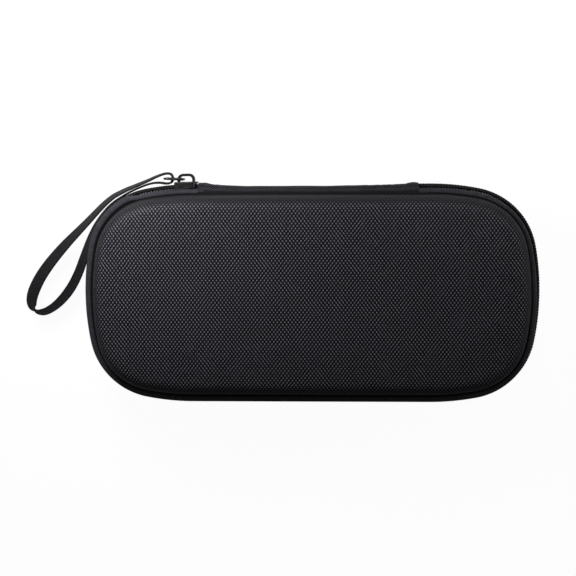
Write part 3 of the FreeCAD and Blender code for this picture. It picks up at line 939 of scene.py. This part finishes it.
def spline_line(points):
    """The smooth line that a NURBS spline draws from these control points."""
    curve = bpy.data.curves.new("strap_line", "CURVE")
    curve.dimensions = "3D"
    spline = curve.splines.new("NURBS")
    spline.points.add(len(points) - 1)
    weighted = np.hstack([points, np.ones((len(points), 1))])
    spline.points.foreach_set("co", weighted.astype(np.float32).ravel())
    spline.order_u = 3
    spline.use_endpoint_u = True
    spline.resolution_u = 14
    holder = bpy.data.objects.new("strap_line", curve)
    bpy.context.scene.collection.objects.link(holder)
    bpy.context.view_layer.update()
    mesh = bpy.data.meshes.new_from_object(holder)
    line = np.empty(len(mesh.vertices) * 3, np.float32)
    mesh.vertices.foreach_get("co", line)
    bpy.data.objects.remove(holder)
    bpy.data.meshes.remove(mesh)
    return line.reshape(-1, 3).astype(float)


def strap_line(settle):
    """The route in space: from the ring's eye it slopes down by an angle, and settle more."""
    flat = np.array(strap_route) * MM
    eye = flat[0]
    far = flat[np.argmax(np.linalg.norm(flat - eye, axis=1))]
    reach = np.linalg.norm(far - eye)
    down = (far - eye) / reach
    along = (flat - eye) @ down
    sloped = flat + down * (along * (math.cos(strap_slope) - 1))[:, None]
    drop = along * math.sin(strap_slope) + settle * np.clip(along / reach, 0, 1)
    return spline_line(np.hstack([sloped, (middle - drop)[:, None]]))


def strap_points(line, lean_degrees):
    """The section at each point: across runs from the lower edge to the upper one and leans to the
    case's side by the lean angle, and a flat oval is drawn on it and on the face's normal. The
    oval's cosine and sine are raised to powers below 1, which makes it fuller at its corners."""
    ahead = np.gradient(line, axis=0)
    ahead /= np.linalg.norm(ahead, axis=1)[:, None]
    lean = np.radians(lean_degrees)[:, None]
    upright = np.cos(lean) * np.array([0, 0, 1.0]) + np.sin(lean) * lean_toward
    across = upright - (upright * ahead).sum(1)[:, None] * ahead
    across /= np.linalg.norm(across, axis=1)[:, None]
    face = np.cross(ahead, across)
    angle = np.linspace(0, 2 * math.pi, 28, endpoint=False)
    wide = np.sign(np.cos(angle)) * np.abs(np.cos(angle)) ** edge_power * strap_width / 2
    thick = np.sign(np.sin(angle)) * np.abs(np.sin(angle)) ** face_power * strap_thickness / 2
    sideways = wide[None, :, None] * across[:, None] + thick[None, :, None] * face[:, None]
    return line[:, None] + sideways


def strap_lean(line):
    """Degrees of lean along the strap, as its width in the photograph gives them, softened over
    about a twentieth of its length."""
    share = run_lengths(line) / run_lengths(line)[-1]
    stops = [0, 0.05, 0.12, 0.2, 0.26, 0.33, 0.38, 0.46, 0.49, 0.53, 0.6, 0.68, 0.74, 0.8, 0.86, 1.0]
    leans = [4, 12, 20, 26, 33, 44, 50, 57, 52, 33, 42, 41, 30, 14, 5, 2]
    fine = np.linspace(-0.1, 1.1, 1201)
    kernel = np.hanning(61)
    soft = np.convolve(np.interp(fine, stops, leans), kernel / kernel.sum(), mode="same")
    return np.interp(share, fine, soft)


def webbing_finish():
    finish = Finish("strap_webbing", Roughness=0.65, Specular_IOR_Level=0.25)
    along, around = finish.cloth_map()
    spot = finish.vector(along, around)
    lengthwise = (around / (0.75 * MM)).wave() * 0.5 + 0.5
    crosswise = (along / (0.8 * MM) + lengthwise * 0.5).wave() * 0.5 + 0.5
    cloud = finish.noise(spot, 200.0, 2.0)
    thread = lengthwise * 0.4 + crosswise * 0.35 + cloud * 0.4
    finish.feed(Base_Color=finish.mix(thread.ramp(0.2, 1.0), grey(0.003, 0.5), grey(0.014, 0.35)))
    finish.bump(lengthwise * (0.05 * MM) + crosswise * (0.05 * MM))
    return finish.material


trial_line = strap_line(0.0)
lowest = strap_points(trial_line, strap_lean(trial_line))[..., 2].min()
line = strap_line(lowest - floor_gap)
points = strap_points(line, strap_lean(line))
typical = points[80]
around = run_lengths(np.vstack([typical, typical[:1]]))
strap_uv = np.stack(np.meshgrid(run_lengths(line), around, indexing="ij"), -1)
strap = surface("wrist_strap_webbing", points, strap_uv, round_columns=True, caps=True,
                finishes=(webbing_finish(),))
dress(strap, "ring", "strap_webbing", "wrist_strap")
print("strap", round(run_lengths(line)[-1] / MM, 1), "mm, lowest", round(points[..., 2].min() / MM, 2))

# %% [markdown]
# Inside: bindings, lining strip, net pocket, holding straps and patches
#
# The raw seam between tape and shell is bound with a thin woven tape. The net pocket and the
# straps keep cables and the console in place. Their solids already have the right outline, so
# those that are flat keep it and get a finish by object coordinates.

# %% Inside finishes
def elastic_look():
    finish = Finish("ribbed_elastic", Roughness=0.65, Sheen_Weight=0.1)
    x, y, z = finish.place()
    rib = ((y + z) / (1.1 * MM)).wave() * 0.5 + 0.5
    rows = (x / (0.9 * MM)).wave() * 0.5 + 0.5
    finish.feed(Base_Color=finish.mix(rib * 0.5 + rows * 0.5, grey(0.01), grey(0.045)))
    finish.bump(rib * (0.08 * MM) + rows * (0.05 * MM))
    return finish.material


def hook_look(name, light):
    finish = Finish(name, Roughness=0.85, Sheen_Weight=0.3)
    tuft = finish.noise(finish.spot(), 2200.0, 2.0)
    finish.feed(Base_Color=finish.mix(tuft.ramp(0.35, 0.7), grey(0.006), grey(light)))
    finish.bump(tuft * (0.25 * MM))
    return finish.material


def net_look():
    """Hexagon-like holes: three waves at 60 degrees to each other, cut off at a level. 0.5 and
    0.866 are the cosine and the sine of 60 degrees."""
    finish = Finish("pocket_net", Roughness=0.6)
    x, y, _ = finish.place()
    pitch = 2.2 * MM
    u, v = x / pitch, y / pitch
    holes = u.wave() + (u * 0.5 + v * 0.866).wave() + (u * -0.5 + v * 0.866).wave()
    finish.feed(Alpha=1 - holes.ramp(0.2, 0.5))
    fibre = finish.noise(finish.vector(x, y), 1500.0)
    finish.feed(Base_Color=finish.mix(fibre, grey(0.012), grey(0.04)))
    return finish.material


elastic_cloth = elastic_look()
for node in ("upper_holding_strap", "lower_holding_strap"):
    repaint(node, elastic_cloth)
repaint("mesh_pocket_hem", elastic_cloth)
repaint("loop_patch", hook_look("loop_pile", 0.03))
repaint("hook_patch", hook_look("hook_tape", 0.05))
repaint("mesh_pocket", net_look())
repaint("front_rim_binding", lining_finish)
repaint("rear_rim_binding", lining_finish)
repaint("spine_lining", lining_finish)
print("inside dressed")

# %% [markdown]
# Floor, light and camera
#
# The photograph looks down on the case from a little behind its spine, on pure white. The floor
# shows its own glow to the camera and is a plain white surface to everything else, so it still
# lights the case from below and takes a faint shadow. The key lamp is small, low and to the upper
# left, so the light falls off across the face. A second lamp behind the spine, one at each end
# and a weak large one overhead open up the shadows. The camera sees none of the lamps.

# %% Stage
floor_reach = 12.0
floor_glow = 1.09
glow_share = 0.88


def stage_floor():
    """A flat square. The share of glow is glow_share for the camera's rays, also through clear
    holes, and nothing for all others."""
    unit_square = np.array([[(-1, -1, 0), (-1, 1, 0)], [(1, -1, 0), (1, 1, 0)]], float)
    floor = surface("floor", unit_square * floor_reach)
    finish = Finish("white_floor")
    white = finish.node("ShaderNodeBsdfDiffuse", None, {"Color": (0.85, 0.85, 0.85, 1)})
    glow = finish.node("ShaderNodeEmission", None, {"Color": (1, 1, 1, 1), "Strength": floor_glow})
    direct = finish.node("ShaderNodeLightPath", None, None, "Is Camera Ray")
    through = finish.node("ShaderNodeLightPath", None, None, "Is Transmission Ray")
    seen = (direct + through) * glow_share
    both = finish.node("ShaderNodeMixShader", None, {0: seen, 1: white, 2: glow})
    finish.tree.links.new(both.socket, finish.tree.nodes["Material Output"].inputs["Surface"])
    floor.data.materials.append(finish.material)


def area_light(name, spot, target, size, power):
    """A round lamp at a spot, facing a target, that the camera doesn't see."""
    lamp = bpy.data.lights.new(name, "AREA")
    lamp.shape = "DISK"
    lamp.size = size
    lamp.energy = power
    holder = bpy.data.objects.new(name, lamp)
    holder.visible_camera = False
    holder.location = spot
    direction = np.array(target) - np.array(spot)
    holder.rotation_euler = Vector(direction).to_track_quat("-Z", "Y").to_euler()
    bpy.context.scene.collection.objects.link(holder)


stage_floor()
area_light("key", (-0.15, 0.15, 0.15), (-0.03, 0.02, 0.04), 0.12, 0.36)
area_light("second", (0.13, 0.20, 0.15), (0.05, 0.02, 0.04), 0.12, 0.12)
area_light("right", (0.55, 0.10, 0.09), (0.13, 0, 0.025), 0.3, 0.48)
area_light("left", (-0.55, 0.05, 0.12), (-0.13, 0, 0.03), 0.3, 0.25)
area_light("fill", (0.6, -0.3, 1.1), (0, 0, 0.03), 0.9, 0.28)

world = bpy.data.worlds.new("studio")
world.use_nodes = True
world.node_tree.nodes["Background"].inputs["Color"].default_value = (1, 1, 1, 1)
world.node_tree.nodes["Background"].inputs["Strength"].default_value = 0.06
bpy.context.scene.world = world

# %% Camera
# Its place and lens were fitted to the case's outline and groove in the photograph.
camera = bpy.data.cameras.new("camera")
camera.lens = 76.6
camera_object = bpy.data.objects.new("camera", camera)
camera_object.location = (0.01203, 0.08065, middle + 0.70)
camera_object.rotation_euler = [math.radians(angle) for angle in (-6.328, 2.047, -0.219)]
bpy.context.scene.collection.objects.link(camera_object)
bpy.context.scene.camera = camera_object
bpy.context.scene.view_settings.view_transform = "Standard"
print("camera", [round(value, 4) for value in camera_object.location])
